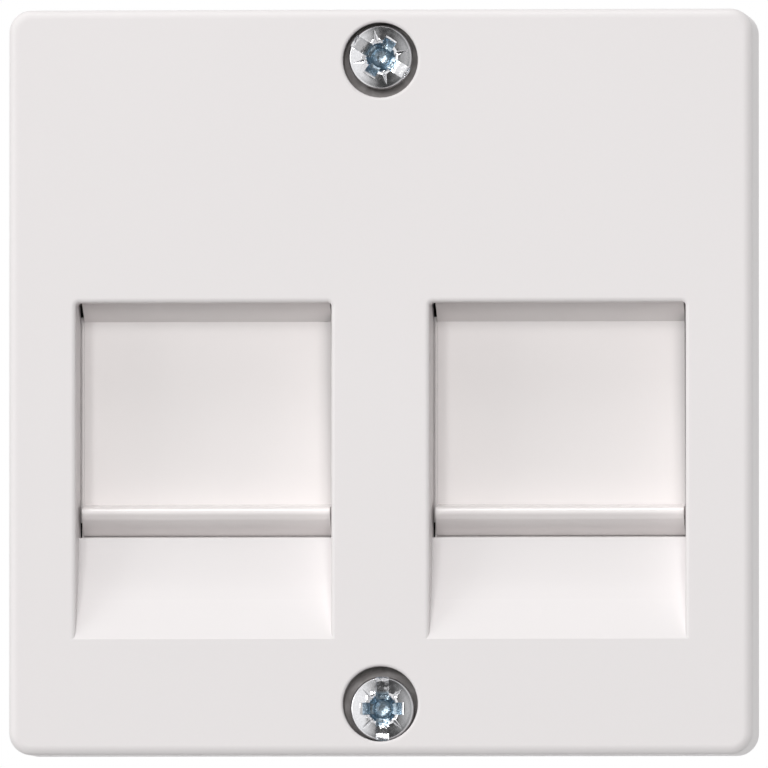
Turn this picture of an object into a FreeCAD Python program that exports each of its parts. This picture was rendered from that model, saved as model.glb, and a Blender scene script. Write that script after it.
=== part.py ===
import FreeCAD, Part
import math
import os

# Square faceplate for two keystone jacks, with a dust shutter in front of each port.
#
# Frame: X to the right, Z up, the front looks along -Y.  The origin is the middle of the
# rear rim, which is also the middle of the line between the two fixing screws.
# All lengths are millimetres, all angles degrees.

V = FreeCAD.Vector
Y_AXIS = V(0, 1, 0)

# --- Plate ---------------------------------------------------------------------------
PLATE = 50.0              # side of the square front
CORNER_R = 1.5            # upright corners of the skirt
FRONT_EDGE_R = 0.6        # round along the front edge
FRONT_WALL = 2.0          # thickness behind the front face
SKIRT_WALL = 1.8          # thickness of the four side walls
CAVITY_CORNER_R = 0.6     # inner corners of the skirt
RIM_LAND = 0.1            # skirt behind the snap beads

# --- Windows -------------------------------------------------------------------------
WINDOW_W = 17.2
WINDOW_SIDE = 4.5         # outer side of a window to the side of the plate
WINDOW_BELOW = 7.75       # lower edge of a window to the bottom of the plate
WINDOW_CORNER_R = 0.25    # upper corners
WINDOW_EDGE_R = 0.3       # round where a window meets the front face
RIB_T = 1.2               # walls that flank a window and guide its shutter

# --- Finger scoop below each shutter ---------------------------------------------------
SCOOP_ANGLE = 31.5        # slope of its lower part against the front face
SCOOP_RUN = 2.7           # height of the straight lower part
SCOOP_R = 8.0             # hollow that turns the slope parallel to the front
SCOOP_WALL = 1.2
SCOOP_LIP_R = 0.12        # rounded upper edge

# --- Shutter ---------------------------------------------------------------------------
PANEL_SIDE_GAP = 0.1      # between the panel and each guide wall
RIDGE_SIDE_GAP = 0.25     # between the ends of ridge and bar and each guide wall
LIP_GAP = 0.35            # between the scoop's lip and the panel behind it
PANEL_T = 1.2
WING_LAP = 0.7            # how far a side wing reaches behind its guide wall
WING_STEP = 0.3           # how far a wing lies behind the panel's face
WING_REACH = 0.33         # top of the wings, above the foot of the bevel
WING_RISE = 0.9           # foot of the wings, above the foot of the ridge
SLIDE_GAP = 0.1           # in front of the wings and behind the panel
END_GAP = 0.1             # to the stops at either end of the travel
OPEN_MARGIN = 0.47        # raised ridge to the window's upper edge
STOP_SPACE = 1.67         # upper stop to the skirt
RIDGE_H = 2.1             # finger ridge, at its root
RIDGE_TOP_RUN = 0.4       # lean of the ridge's upper side
RIDGE_CREST = 0.7         # flat of the ridge's crest
RIDGE_TOP_R = 0.3         # round between the upper side and the crest
RIDGE_UNDER_R = 0.6       # round between the crest and the underside
RIDGE_FOOT_STAND = 0.9    # lower edge of the underside, in front of the panel
RIDGE_GAP = 0.15          # between the ridge and the scoop's lip
BAR_GAP = 0.2             # between the upper bar and the front wall
BAR_H = 1.8               # upper bar, above the bevel
BEVEL_ANGLE = 60.0        # slope of the bevel under the upper bar, against the panel
BEVEL_HIDDEN = 0.08       # part of the bevel behind the window's upper edge
TONGUE_LAP = 1.25         # how far the panel reaches down behind the lip

# --- Fixing screws ---------------------------------------------------------------------
HEAD_R = 2.2
HEAD_H = 2.0              # crown to seat
HEAD_DOME = 0.3
HEAD_EDGE_R = 0.25
HEAD_GAP = 0.12           # left beside a head that sits off centre
THREAD_R = 1.25
NECK_R = 1.0              # waist between head and thread, which the captive washer grips
THREAD_LEAD = 0.05        # thread inside the rear rim
SHANK_GAP = 0.15          # left beside a shank that sits off centre
SCREW_PLAY = 0.2          # how far each screw sits outwards in its hole
SCREW_LENGTH = 16.0       # under the head
SCREW_TIP_CHAMFER = 0.4
SLOT_W = 0.8
SLOT_DEPTH = 0.75
RECESS_SPAN = 2.9         # across the wings of the cross recess
RECESS_WING_W = 0.7
RECESS_WING_DEPTH = 1.15
RECESS_CORE_R = 0.95
RECESS_CORE_DEPTH = 1.5
TOP_SLOT_ANGLE = -28.0
BOTTOM_SLOT_ANGLE = 90.0
COUNTERBORE_EDGE_R = 0.2
COUNTERBORE_LAND = 0.08   # flat between a counterbore's rim and the plate's front edge
PILLAR_WALL = 1.0
PILLAR_LENGTH = 3.5       # behind the front wall
CAPTIVE_WASHER_R = 2.2
CAPTIVE_WASHER_T = 0.8
CAPTIVE_WASHER_GAP = 0.1  # left beside a washer in its pocket

# --- Keystone carrier --------------------------------------------------------------------
CARRIER_GAP = 0.2         # between its edge and the skirt
CARRIER_T = 1.2
PORT_W = 14.8
PORT_H = 16.3
PORT_DROP = 1.6           # foot of a port, below the scoop's lip
PORT_WALL = 1.3
PORT_DEPTH = 9.7          # front of the carrier to the rear of a port
PORT_LIP = 1.6            # front and rear lips of a port
PORT_CORNER_R = 0.8       # outer corners of a port
PORT_LEAD_IN = 0.5        # chamfer around a port's rear mouth
LUG_POCKET = 1.5          # recess under a port, for the jack's fixed lug
LATCH_POCKET = 2.1        # recess over a port, for the jack's latch
LATCH_SLOT_W = 9.0        # opening over the latch
WEB_T = 1.2               # walls that tie the two ports together
WEB_DEPTH = 5.0
STIFFENER_T = 1.0         # low ribs across the blank upper part
STIFFENER_H = 1.5
STIFFENER_INSET = 3.0     # their upper ends to the carrier's edge
PILLAR_NOTCH_GAP = 0.2    # around the rear ends of the pillars

# --- Seats and snap beads inside the skirt -----------------------------------------------
SEAT_PITCH = 30.0
SEAT_W = 1.2
SEAT_STAND = 1.1
BEAD_L = 10.0
BEAD_H = 0.5

# --- Depths worked out from the sizes above, from the front face backwards ------------------
SLOPE = math.radians(SCOOP_ANGLE)
LIP_DEPTH = SCOOP_RUN * math.tan(SLOPE) + SCOOP_R * (1 - math.cos(SLOPE))
PANEL_DEPTH = LIP_DEPTH + SCOOP_WALL + LIP_GAP
CARRIER_DEPTH = PANEL_DEPTH + PANEL_T + SLIDE_GAP
PLATE_DEPTH = CARRIER_DEPTH + CARRIER_T + BEAD_H + RIM_LAND

FRONT_Y = -PLATE_DEPTH
INNER_Y = FRONT_Y + FRONT_WALL
LIP_Y = FRONT_Y + LIP_DEPTH
PANEL_Y = FRONT_Y + PANEL_DEPTH
PANEL_BACK_Y = PANEL_Y + PANEL_T
CREST_Y = INNER_Y + BAR_GAP
WING_Y = PANEL_Y + WING_STEP
RIB_Y = WING_Y - SLIDE_GAP
CARRIER_Y = FRONT_Y + CARRIER_DEPTH
CARRIER_BACK_Y = CARRIER_Y + CARRIER_T
PORT_BACK_Y = CARRIER_Y + PORT_DEPTH
HEAD_SEAT_Y = FRONT_Y + HEAD_H
SCREW_TIP_Y = HEAD_SEAT_Y + SCREW_LENGTH
PILLAR_BACK_Y = INNER_Y + PILLAR_LENGTH

# --- Heights and half widths worked out from the sizes above ---------------------------------
HALF = PLATE / 2
CAVITY_HALF = HALF - SKIRT_WALL
CARRIER_HALF = CAVITY_HALF - CARRIER_GAP
WINDOW_X = HALF - WINDOW_SIDE - WINDOW_W / 2
WINDOW_BOTTOM_Z = WINDOW_BELOW - HALF
LIP_Z = WINDOW_BOTTOM_Z + SCOOP_RUN + SCOOP_R * math.sin(SLOPE)

# A raised shutter hides behind the blank wall over its window, so the height that scoop,
# ridge, bar and stop leave free is shared between the two: half of it is the travel.
WINDOW_ALLOWANCE = LIP_Z - WINDOW_BOTTOM_Z + RIDGE_GAP + RIDGE_H + OPEN_MARGIN
BLANK_ALLOWANCE = BEVEL_HIDDEN + BAR_H + END_GAP + RIB_T + STOP_SPACE + SKIRT_WALL
TRAVEL = (PLATE - WINDOW_BELOW - WINDOW_ALLOWANCE - BLANK_ALLOWANCE) / 2
WINDOW_TOP_Z = WINDOW_BOTTOM_Z + WINDOW_ALLOWANCE + TRAVEL

RIDGE_STAND = PANEL_Y - CREST_Y
RIDGE_FOOT_Z = LIP_Z + RIDGE_GAP
RIDGE_TOP_Z = RIDGE_FOOT_Z + RIDGE_H
TONGUE_Z = LIP_Z - TONGUE_LAP
BEVEL_RUN = RIDGE_STAND / math.tan(math.radians(BEVEL_ANGLE))
BEVEL_TOP_Z = WINDOW_TOP_Z + BEVEL_HIDDEN
BEVEL_FOOT_Z = BEVEL_TOP_Z - BEVEL_RUN
BAR_TOP_Z = BEVEL_TOP_Z + BAR_H
WING_TOP_Z = BEVEL_FOOT_Z + WING_REACH
WING_FOOT_Z = RIDGE_FOOT_Z + WING_RISE
LOWER_STOP_Z = TONGUE_Z - END_GAP
UPPER_STOP_Z = BAR_TOP_Z + TRAVEL + END_GAP
PANEL_HALF = WINDOW_W / 2 - PANEL_SIDE_GAP
RIDGE_HALF = WINDOW_W / 2 - RIDGE_SIDE_GAP
WING_HALF = WINDOW_W / 2 + WING_LAP

PORT_BOTTOM_Z = LIP_Z - PORT_DROP
PORT_TOP_Z = PORT_BOTTOM_Z + PORT_H

COUNTERBORE_R = HEAD_R + SCREW_PLAY + HEAD_GAP
SHANK_HOLE_R = THREAD_R + SCREW_PLAY + SHANK_GAP
WASHER_POCKET_R = CAPTIVE_WASHER_R + SCREW_PLAY + CAPTIVE_WASHER_GAP
PILLAR_R = COUNTERBORE_R + PILLAR_WALL
PILLAR_NOTCH_R = PILLAR_R + PILLAR_NOTCH_GAP
HOLE_Z = HALF - FRONT_EDGE_R - COUNTERBORE_LAND - COUNTERBORE_EDGE_R - COUNTERBORE_R
SCREW_Z = HOLE_Z + SCREW_PLAY

SIDES = (-1, 1)
OVERCUT = 1.0             # how far a cutting tool runs past what it cuts
TOLERANCE = 0.01          # within this, two places are the same


def box(xs, ys, zs):
    """Return an upright block between the given pairs of limits."""
    size = (xs[1] - xs[0], ys[1] - ys[0], zs[1] - zs[0])
    return Part.makeBox(size[0], size[1], size[2], V(xs[0], ys[0], zs[0]))


def rod(radius, ys, x, z):
    """Return a cylinder along Y between two levels."""
    return Part.makeCylinder(radius, ys[1] - ys[0], V(x, ys[0], z), Y_AXIS)


def fused(shapes):
    """Return one solid made of touching shapes, without seams on its flats."""
    return shapes[0].multiFuse(shapes[1:]).removeSplitter()


def prism(wire_edges, xs):
    """Return the solid that a closed outline in the YZ plane sweeps along X."""
    face = Part.Face(Part.Wire(Part.__sortEdges__(wire_edges)))
    face.translate(V(xs[0], 0, 0))
    return face.extrude(V(xs[1] - xs[0], 0, 0))


def polyline(points):
    """Return the edges that join (y, z) points in their order."""
    places = [V(0, y, z) for y, z in points]
    return [Part.makeLine(a, b) for a, b in zip(places, places[1:])]


def edges_where(shape, test):
    """Return a shape's edges whose middle point passes the test."""
    return [edge for edge in shape.Edges if test(edge.CenterOfMass)]


def near(a, b):
    """Tell whether two values agree."""
    return abs(a - b) < TOLERANCE


def rounded_block(half, ys, corner_r):
    """Return a square block around the Y axis with its four long edges rounded."""
    block = box((-half, half), ys, (-half, half))
    middle = (ys[0] + ys[1]) / 2
    return block.makeFillet(corner_r, edges_where(block, lambda p: near(p.y, middle)))


# --- Front cover -----------------------------------------------------------------------------
def envelope():
    """Return the cover's outer form, rounded along its front edge."""
    block = rounded_block(HALF, (FRONT_Y, 0), CORNER_R)
    return block.makeFillet(FRONT_EDGE_R, edges_where(block, lambda p: near(p.y, FRONT_Y)))


def window_cutter(x):
    """Return the tool that opens one window, with rounded upper corners."""
    block = box((x - WINDOW_W / 2, x + WINDOW_W / 2), (FRONT_Y - OVERCUT, INNER_Y + OVERCUT),
                (WINDOW_BOTTOM_Z, WINDOW_TOP_Z))
    corners = edges_where(block, lambda p: near(p.z, WINDOW_TOP_Z) and not near(p.x, x)
                          and not near(p.y, FRONT_Y - OVERCUT) and not near(p.y, INNER_Y + OVERCUT))
    return block.makeFillet(WINDOW_CORNER_R, corners)


def on_window_rim(point):
    """Tell whether a point lies on the top or a side of a window, on the front face."""
    inside = abs(abs(point.x) - WINDOW_X) < WINDOW_W / 2 + TOLERANCE
    level = WINDOW_BOTTOM_Z + TOLERANCE < point.z < WINDOW_TOP_Z + TOLERANCE
    return near(point.y, FRONT_Y) and inside and level


def front_shell():
    """Return the hollow plate with its two windows opened and their rims rounded."""
    cavity = rounded_block(CAVITY_HALF, (INNER_Y, OVERCUT), CAVITY_CORNER_R)
    shell = envelope().cut(cavity)
    for side in SIDES:
        shell = shell.cut(window_cutter(side * WINDOW_X))
    return shell.makeFillet(WINDOW_EDGE_R, edges_where(shell, on_window_rim))


def scoop(x):
    """Return the curved finger scoop that closes the lower part of one window."""
    centre_y = LIP_Y - SCOOP_R
    sin_slope = math.sin(SLOPE)
    cos_slope = math.cos(SLOPE)
    sin_half = math.sin(SLOPE / 2)
    cos_half = math.cos(SLOPE / 2)
    back_r = SCOOP_R + SCOOP_WALL
    hollow = [(centre_y + SCOOP_R, LIP_Z),
              (centre_y + SCOOP_R * cos_half, LIP_Z - SCOOP_R * sin_half),
              (centre_y + SCOOP_R * cos_slope, LIP_Z - SCOOP_R * sin_slope)]
    back = [(centre_y + back_r, LIP_Z),
            (centre_y + back_r * cos_half, LIP_Z - back_r * sin_half),
            (centre_y + back_r * cos_slope, LIP_Z - back_r * sin_slope)]
    root_y = FRONT_Y + FRONT_WALL / 2
    root_z = back[2][1] - (back[2][0] - root_y) / math.tan(SLOPE)
    edges = polyline([hollow[2], (FRONT_Y, WINDOW_BOTTOM_Z), (FRONT_Y, root_z),
                      (root_y, root_z), back[2]])
    edges += polyline([back[0], hollow[0]])
    for start, middle, end in (hollow, back):
        edges.append(Part.Arc(V(0, *start), V(0, *middle), V(0, *end)).toShape())
    reach = WINDOW_W / 2 + RIB_T
    solid = prism(edges, (x - reach, x + reach))
    lip = edges_where(solid, lambda p: near(p.z, LIP_Z) and near(p.x, x))
    return solid.makeFillet(SCOOP_LIP_R, lip)


def guide_walls(x):
    """Return the two walls beside a window, deeper where no shutter wing passes."""
    top_z = UPPER_STOP_Z + RIB_T
    clear_z = WING_TOP_Z + TRAVEL + RIB_T
    pieces = []
    for side in SIDES:
        inner_x = x + side * WINDOW_W / 2
        xs = sorted((inner_x, inner_x + side * RIB_T))
        pieces.append(box(xs, (INNER_Y - FRONT_WALL / 2, RIB_Y), (WINDOW_BOTTOM_Z - RIB_T, top_z)))
        pieces.append(box(xs, (INNER_Y, CARRIER_Y), (clear_z, top_z)))
        pieces.append(box(xs, (INNER_Y, CARRIER_Y), (WINDOW_BOTTOM_Z - RIB_T, LOWER_STOP_Z)))
    return pieces


def end_stops(x):
    """Return the shelves that end the shutter's travel and back the carrier."""
    xs = (x - WINDOW_W / 2 - RIB_T, x + WINDOW_W / 2 + RIB_T)
    upper = box(xs, (INNER_Y, CARRIER_Y), (UPPER_STOP_Z, UPPER_STOP_Z + RIB_T))
    lower = box(xs, (LIP_Y + SCOOP_WALL / 2, CARRIER_Y), (LOWER_STOP_Z - RIB_T, LOWER_STOP_Z))
    return [upper, lower]


def shutter_channel(x):
    """Return the tool that keeps the way of a shutter's body clear between its guide walls."""
    return box((x - WINDOW_W / 2, x + WINDOW_W / 2), (INNER_Y, OVERCUT), (WINDOW_TOP_Z, UPPER_STOP_Z))


def skirt_seats():
    """Return the short ribs on the skirt that the carrier rests on."""
    depth = (INNER_Y, CARRIER_Y)
    pieces = []
    for side in SIDES:
        wall = sorted((side * (CAVITY_HALF + SKIRT_WALL / 2), side * (CAVITY_HALF - SEAT_STAND)))
        for place in SIDES:
            along = place * SEAT_PITCH / 2
            span = (along - SEAT_W / 2, along + SEAT_W / 2)
            pieces.append(box(wall, depth, span))
            pieces.append(box(span, depth, wall))
    return pieces


def snap_beads():
    """Return the wedge-shaped beads on the skirt that hold the carrier's rear edge."""
    root = CAVITY_HALF + SKIRT_WALL / 2
    outline = [(CARRIER_BACK_Y, root), (CARRIER_BACK_Y, CAVITY_HALF - BEAD_H),
               (CARRIER_BACK_Y + BEAD_H, CAVITY_HALF), (CARRIER_BACK_Y + BEAD_H, root),
               (CARRIER_BACK_Y, root)]
    bead = prism(polyline(outline), (-BEAD_L / 2, BEAD_L / 2))
    beads = []
    for turn in (0, 90, 180, 270):
        for x in ((0,) if turn % 180 else (-WINDOW_X, WINDOW_X)):
            piece = bead.copy()
            piece.translate(V(x, 0, 0))
            piece.rotate(V(0, 0, 0), Y_AXIS, turn)
            beads.append(piece)
    return beads


def front_cover():
    """Return the moulded cover: shell, scoops, guides, stops, seats and screw pillars."""
    outer = envelope()
    pillars = []
    for side in SIDES:
        pillar = rod(PILLAR_R, (INNER_Y - FRONT_WALL / 2, PILLAR_BACK_Y), 0, side * HOLE_Z)
        pillars.append(pillar.common(outer))
    pieces = [front_shell()] + pillars
    for side in SIDES:
        pieces += guide_walls(side * WINDOW_X)
    cover = fused(pieces)
    for side in SIDES:
        cover = cover.cut(shutter_channel(side * WINDOW_X))
    details = [cover] + skirt_seats() + snap_beads()
    for side in SIDES:
        details.append(scoop(side * WINDOW_X))
        details += end_stops(side * WINDOW_X)
    cover = fused(details)
    for side in SIDES:
        z = side * HOLE_Z
        cover = cover.cut(rod(SHANK_HOLE_R, (FRONT_Y, PILLAR_BACK_Y + OVERCUT), 0, z))
        cover = cover.cut(rod(COUNTERBORE_R, (FRONT_Y - OVERCUT, HEAD_SEAT_Y), 0, z))
        cover = cover.cut(rod(WASHER_POCKET_R, (PILLAR_BACK_Y, OVERCUT), 0, z))
    rims = edges_where(cover, lambda p: near(p.y, FRONT_Y) and near(p.x, 0) and near(abs(p.z), HOLE_Z))
    return cover.makeFillet(COUNTERBORE_EDGE_R, rims)


# --- Shutter -------------------------------------------------------------------------------------
def shutter(x):
    """Return one shutter: panel, finger ridge, upper bar, lower tongue and side wings."""
    crest_top_z = RIDGE_TOP_Z - RIDGE_TOP_RUN
    crest_foot_z = crest_top_z - RIDGE_CREST
    lean = math.radians(BEVEL_ANGLE)
    across = PANEL_T / math.sin(lean)
    back_foot_z = BEVEL_FOOT_Z + across - PANEL_T / math.tan(lean)
    back_top_z = BEVEL_TOP_Z + across - PANEL_T / math.tan(lean)
    outline = [(CREST_Y, BAR_TOP_Z), (CREST_Y, BEVEL_TOP_Z), (PANEL_Y, BEVEL_FOOT_Z),
               (PANEL_Y, RIDGE_TOP_Z), (CREST_Y, crest_top_z), (CREST_Y, crest_foot_z),
               (PANEL_Y - RIDGE_FOOT_STAND, RIDGE_FOOT_Z), (PANEL_Y, RIDGE_FOOT_Z),
               (PANEL_Y, TONGUE_Z), (PANEL_BACK_Y, TONGUE_Z), (PANEL_BACK_Y, back_foot_z),
               (CREST_Y + PANEL_T, back_top_z), (CREST_Y + PANEL_T, BAR_TOP_Z),
               (CREST_Y, BAR_TOP_Z)]
    body = prism(polyline(outline), (x - RIDGE_HALF, x + RIDGE_HALF))
    for z, radius in ((crest_top_z, RIDGE_TOP_R), (crest_foot_z, RIDGE_UNDER_R)):
        corner = edges_where(body, lambda p, z=z: near(p.y, CREST_Y) and near(p.x, x) and near(p.z, z))
        body = body.makeFillet(radius, corner)
    panel = box((x - PANEL_HALF, x + PANEL_HALF), (PANEL_Y, PANEL_BACK_Y), (TONGUE_Z, BEVEL_FOOT_Z))
    wings = box((x - WING_HALF, x + WING_HALF), (WING_Y, PANEL_BACK_Y), (WING_FOOT_Z, WING_TOP_Z))
    return fused([body, panel, wings])


# --- Keystone carrier ------------------------------------------------------------------------------
def port_frame(x):
    """Return the outer block of one keystone port, its long edges rounded."""
    half = PORT_W / 2 + PORT_WALL
    block = box((x - half, x + half), (CARRIER_Y, PORT_BACK_Y),
                (PORT_BOTTOM_Z - LUG_POCKET - PORT_WALL, PORT_TOP_Z + LATCH_POCKET + PORT_WALL))
    middle = (CARRIER_Y + PORT_BACK_Y) / 2
    return block.makeFillet(PORT_CORNER_R, edges_where(block, lambda p: near(p.y, middle)))


def port_cutters(x):
    """Return the tools that open one port, its two pockets and the slot over the latch."""
    xs = (x - PORT_W / 2, x + PORT_W / 2)
    pocket_ys = (CARRIER_Y + PORT_LIP, PORT_BACK_Y - PORT_LIP)
    aperture = box(xs, (CARRIER_Y - OVERCUT, PORT_BACK_Y + OVERCUT), (PORT_BOTTOM_Z, PORT_TOP_Z))
    pockets = box(xs, pocket_ys, (PORT_BOTTOM_Z - LUG_POCKET, PORT_TOP_Z + LATCH_POCKET))
    latch_slot = box((x - LATCH_SLOT_W / 2, x + LATCH_SLOT_W / 2), pocket_ys,
                     (PORT_TOP_Z, PORT_TOP_Z + LATCH_POCKET + PORT_WALL + OVERCUT))
    return [aperture, pockets, latch_slot]


def on_port_mouth(point):
    """Tell whether a point lies on the edge of a port's opening, seen from behind."""
    across = abs(abs(point.x) - WINDOW_X) < PORT_W / 2 + TOLERANCE
    return across and PORT_BOTTOM_Z - TOLERANCE < point.z < PORT_TOP_Z + TOLERANCE


def stiffeners():
    """Return the low ribs that run up from each port over the carrier's blank upper part."""
    ribs = []
    for side in SIDES:
        for place in SIDES:
            x = side * WINDOW_X + place * LATCH_SLOT_W / 2
            ribs.append(box((x - STIFFENER_T / 2, x + STIFFENER_T / 2),
                            (CARRIER_Y, CARRIER_BACK_Y + STIFFENER_H),
                            (PORT_TOP_Z + LATCH_POCKET, CARRIER_HALF - STIFFENER_INSET)))
    return ribs


def keystone_carrier():
    """Return the rear moulding: base plate and two keystone ports."""
    base = rounded_block(CARRIER_HALF, (CARRIER_Y, CARRIER_BACK_Y), CAVITY_CORNER_R)
    for side in SIDES:
        z = side * HOLE_Z
        notch = rod(PILLAR_NOTCH_R, (CARRIER_Y - OVERCUT, CARRIER_BACK_Y + OVERCUT), 0, z)
        mouth = sorted((z, side * (CARRIER_HALF + OVERCUT)))
        slot = box((-PILLAR_NOTCH_R, PILLAR_NOTCH_R),
                   (CARRIER_Y - OVERCUT, CARRIER_BACK_Y + OVERCUT), mouth)
        base = base.cut(notch.fuse(slot))
    web = box((-WINDOW_X, WINDOW_X), (CARRIER_Y, CARRIER_Y + WEB_DEPTH),
              (PORT_BOTTOM_Z - WEB_T / 2, PORT_BOTTOM_Z + WEB_T / 2))
    upper_web = web.copy()
    upper_web.translate(V(0, 0, PORT_H))
    pieces = [base, web, upper_web] + stiffeners()
    for side in SIDES:
        pieces.append(port_frame(side * WINDOW_X))
    carrier = fused(pieces)
    for side in SIDES:
        for cutter in port_cutters(side * WINDOW_X):
            carrier = carrier.cut(cutter)
    mouths = edges_where(carrier, lambda p: near(p.y, PORT_BACK_Y) and on_port_mouth(p))
    return carrier.makeChamfer(PORT_LEAD_IN, mouths)


# --- Fixing screws -----------------------------------------------------------------------------------
def drive(slot_angle):
    """Return the tool for a slot combined with a cross recess, on the Y axis from y = 0."""
    slot = box((-HEAD_R - OVERCUT, HEAD_R + OVERCUT), (-OVERCUT, SLOT_DEPTH), (-SLOT_W / 2, SLOT_W / 2))
    long_wing = box((-RECESS_SPAN / 2, RECESS_SPAN / 2), (-OVERCUT, RECESS_WING_DEPTH),
                    (-RECESS_WING_W / 2, RECESS_WING_W / 2))
    cross_wing = long_wing.copy()
    cross_wing.rotate(V(0, 0, 0), Y_AXIS, 90)
    core = Part.makeCone(RECESS_CORE_R, RECESS_WING_W / 2, RECESS_CORE_DEPTH, V(0, 0, 0), Y_AXIS)
    tool = slot.multiFuse([long_wing, cross_wing, core])
    tool.rotate(V(0, 0, 0), Y_AXIS, -slot_angle)
    return tool


def fixing_screw(z, slot_angle):
    """Return one screw: domed head with its drive, waisted neck, thread and chamfered tip."""
    dome_r = (HEAD_R ** 2 + HEAD_DOME ** 2) / (2 * HEAD_DOME)
    head = rod(HEAD_R, (FRONT_Y, HEAD_SEAT_Y), 0, z)
    head = head.common(Part.makeSphere(dome_r, V(0, FRONT_Y + dome_r, z)))
    rim_y = FRONT_Y + HEAD_DOME
    head = head.makeFillet(HEAD_EDGE_R, edges_where(head, lambda p: near(p.y, rim_y)))
    tool = drive(slot_angle)
    tool.translate(V(0, FRONT_Y, z))
    head = head.cut(tool)
    neck = rod(NECK_R, (HEAD_SEAT_Y, -THREAD_LEAD), 0, z)
    thread = rod(THREAD_R, (-THREAD_LEAD, SCREW_TIP_Y), 0, z)
    thread = thread.makeChamfer(SCREW_TIP_CHAMFER, edges_where(thread, lambda p: near(p.y, SCREW_TIP_Y)))
    return fused([head, neck, thread])


def captive_washer(z):
    """Return the plastic ring that keeps a screw from dropping out of the cover."""
    ys = (PILLAR_BACK_Y, PILLAR_BACK_Y + CAPTIVE_WASHER_T)
    return rod(CAPTIVE_WASHER_R, ys, 0, z).cut(rod(NECK_R, ys, 0, z))


def main():
    """Build every piece and write one STEP file for each."""
    pieces = {
        "front_cover": front_cover(),
        "left_shutter": shutter(-WINDOW_X),
        "right_shutter": shutter(WINDOW_X),
        "keystone_carrier": keystone_carrier(),
        "top_screw": fixing_screw(SCREW_Z, TOP_SLOT_ANGLE),
        "bottom_screw": fixing_screw(-SCREW_Z, BOTTOM_SLOT_ANGLE),
        "top_captive_washer": captive_washer(SCREW_Z),
        "bottom_captive_washer": captive_washer(-SCREW_Z),
    }
    os.makedirs("parts", exist_ok=True)
    for name, shape in pieces.items():
        shape.exportStep("parts/" + name + ".step")
        print(name, shape.ShapeType, len(shape.Solids), "valid" if shape.isValid() else "INVALID",
              round(shape.Volume, 1))


main()
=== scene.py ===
import logging
import math
from collections.abc import Iterable, Sequence
from dataclasses import dataclass
from enum import Enum

import bmesh
import bpy
from mathutils import Matrix, Vector


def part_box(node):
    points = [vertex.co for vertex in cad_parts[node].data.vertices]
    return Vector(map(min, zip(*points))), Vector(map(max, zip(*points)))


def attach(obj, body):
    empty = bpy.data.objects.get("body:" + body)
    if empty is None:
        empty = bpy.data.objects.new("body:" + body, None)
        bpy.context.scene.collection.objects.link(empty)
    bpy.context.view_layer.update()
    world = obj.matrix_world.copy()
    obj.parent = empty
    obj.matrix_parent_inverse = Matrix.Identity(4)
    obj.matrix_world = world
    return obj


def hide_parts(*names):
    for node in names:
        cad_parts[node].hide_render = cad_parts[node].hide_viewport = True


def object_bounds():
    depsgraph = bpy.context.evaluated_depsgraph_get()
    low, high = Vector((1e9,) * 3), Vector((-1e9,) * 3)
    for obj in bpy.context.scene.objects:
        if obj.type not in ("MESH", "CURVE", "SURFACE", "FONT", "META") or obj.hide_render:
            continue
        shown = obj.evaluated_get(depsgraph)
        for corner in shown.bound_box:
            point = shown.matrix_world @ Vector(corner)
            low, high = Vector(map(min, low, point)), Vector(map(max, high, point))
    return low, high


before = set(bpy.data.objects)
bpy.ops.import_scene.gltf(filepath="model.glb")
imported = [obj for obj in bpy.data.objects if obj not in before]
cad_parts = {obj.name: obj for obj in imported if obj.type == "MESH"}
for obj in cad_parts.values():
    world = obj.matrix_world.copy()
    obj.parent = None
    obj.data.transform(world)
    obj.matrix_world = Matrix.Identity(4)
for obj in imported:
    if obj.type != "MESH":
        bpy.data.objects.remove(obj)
CAD_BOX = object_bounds()

LOG = logging.getLogger("faceplate")
MM = 0.001
TINY = 0.001 * MM
FULL_TURN = 2 * math.pi
FLAT_WITHIN = 0.5  # degrees between faces that count as one flat
FACE_WEIGHT = 80  # pull of large faces on the normals beside them
NOISE_MIDDLE = 0.5

Colour = tuple[float, float, float]
Span = tuple[float, float]


class Side(Enum):
    """The two sides of the plate that hold a port, as seen from the front."""

    LEFT = "left"
    RIGHT = "right"


class Level(Enum):
    """The two fixing screws."""

    TOP = "top"
    BOTTOM = "bottom"


# How far each screw leans sideways and up in its hole, and how many degrees its slot is turned.
SCREW_LEAN: dict[Level, Span] = {Level.TOP: (0.0, 0.0), Level.BOTTOM: (0.12 * MM, -0.12 * MM)}
SLOT_TURN: dict[Level, float] = {Level.TOP: -32.0, Level.BOTTOM: 90.0}


class Joining(Enum):
    """The ways to join a tool with the piece on the bench."""

    CUT = "DIFFERENCE"
    WELD = "UNION"
    TRIM = "INTERSECT"


# ---- bench


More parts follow.
